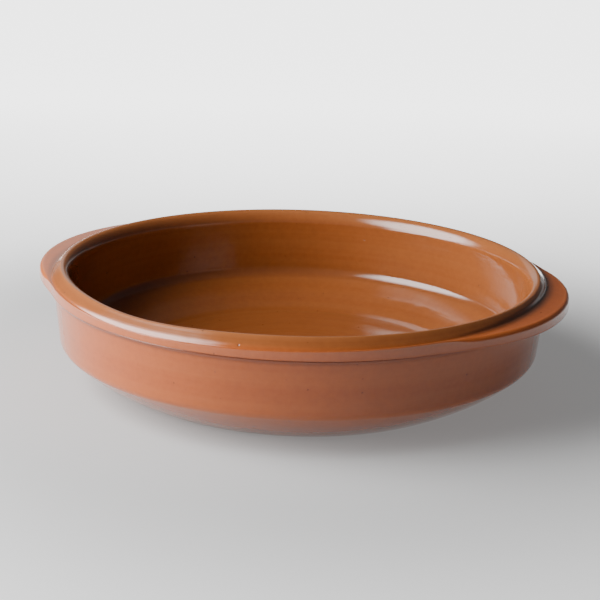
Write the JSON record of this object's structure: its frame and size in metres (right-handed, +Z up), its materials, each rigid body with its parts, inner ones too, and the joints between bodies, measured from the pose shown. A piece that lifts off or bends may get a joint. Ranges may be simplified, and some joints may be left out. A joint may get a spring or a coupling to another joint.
{
  "type": "cazuela",
  "caption": "Round shallow earthenware cooking and serving dish with a thick rolled rim and two ledge handles that grow out of the rim.",
  "frame": {"origin": "centre of the flat base, on the surface the dish stands on", "axes": "+Z up along the turning axis, +X through the two handles, +Y across the bowl"},
  "size_m": [0.2794, 0.259, 0.0595],
  "materials": {
    "glazed_earthenware": "clear honey-brown gloss glaze over red clay, darker in the hollows"
  },
  "bodies": {
    "root": {"dish": "glazed_earthenware"}
  },
  "joints": []
}
